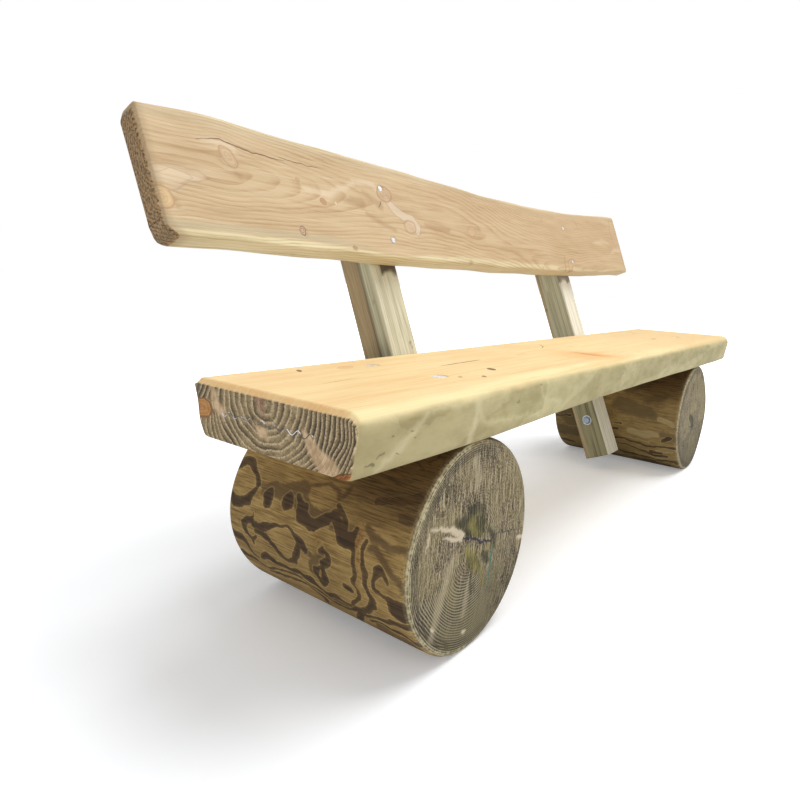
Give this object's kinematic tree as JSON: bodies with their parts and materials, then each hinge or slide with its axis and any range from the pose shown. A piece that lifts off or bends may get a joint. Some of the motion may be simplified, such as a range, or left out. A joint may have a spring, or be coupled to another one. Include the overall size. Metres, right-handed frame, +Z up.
{
  "type": "log bench",
  "caption": "Rustic garden bench: thick waney plank seat bolted onto round logs, with a leaning plank back screwed to square posts.",
  "frame": {"origin": "on the floor, under the middle of the whole bench's bounding box", "axes": "+X along the bench to the right of a person standing in front of it, +Y to the back, +Z up"},
  "size_m": [2.0301, 0.5937, 0.9041],
  "materials": {
    "seat_wood": "sawn and planed softwood, pressure treated",
    "back_wood": "planed softwood, pressure treated",
    "post_wood": "planed softwood, pressure treated",
    "log_wood": "peeled round log, pressure treated",
    "galvanised_steel": "zinc plated",
    "strip_steel": "galvanised strip"
  },
  "bodies": {
    "root": {"seat_plank": "seat_wood", "back_plank": "back_wood", "post_left": "post_wood", "log_left": "log_wood", "seat_screw_left_rear": "galvanised_steel", "seat_screw_left_front": "galvanised_steel", "back_screw_left_low": "galvanised_steel", "back_screw_left_high": "galvanised_steel", "log_coach_screw_left": "galvanised_steel", "log_washer_left": "galvanised_steel", "seat_coach_screw_left": "galvanised_steel", "seat_washer_left": "galvanised_steel", "split_strip_left": "strip_steel", "post_right": "post_wood", "log_right": "log_wood", "seat_screw_right_rear": "galvanised_steel", "seat_screw_right_front": "galvanised_steel", "back_screw_right_low": "galvanised_steel", "back_screw_right_high": "galvanised_steel", "log_coach_screw_right": "galvanised_steel", "log_washer_right": "galvanised_steel", "seat_coach_screw_right": "galvanised_steel", "seat_washer_right": "galvanised_steel", "split_strip_right": "strip_steel"}
  },
  "joints": []
}
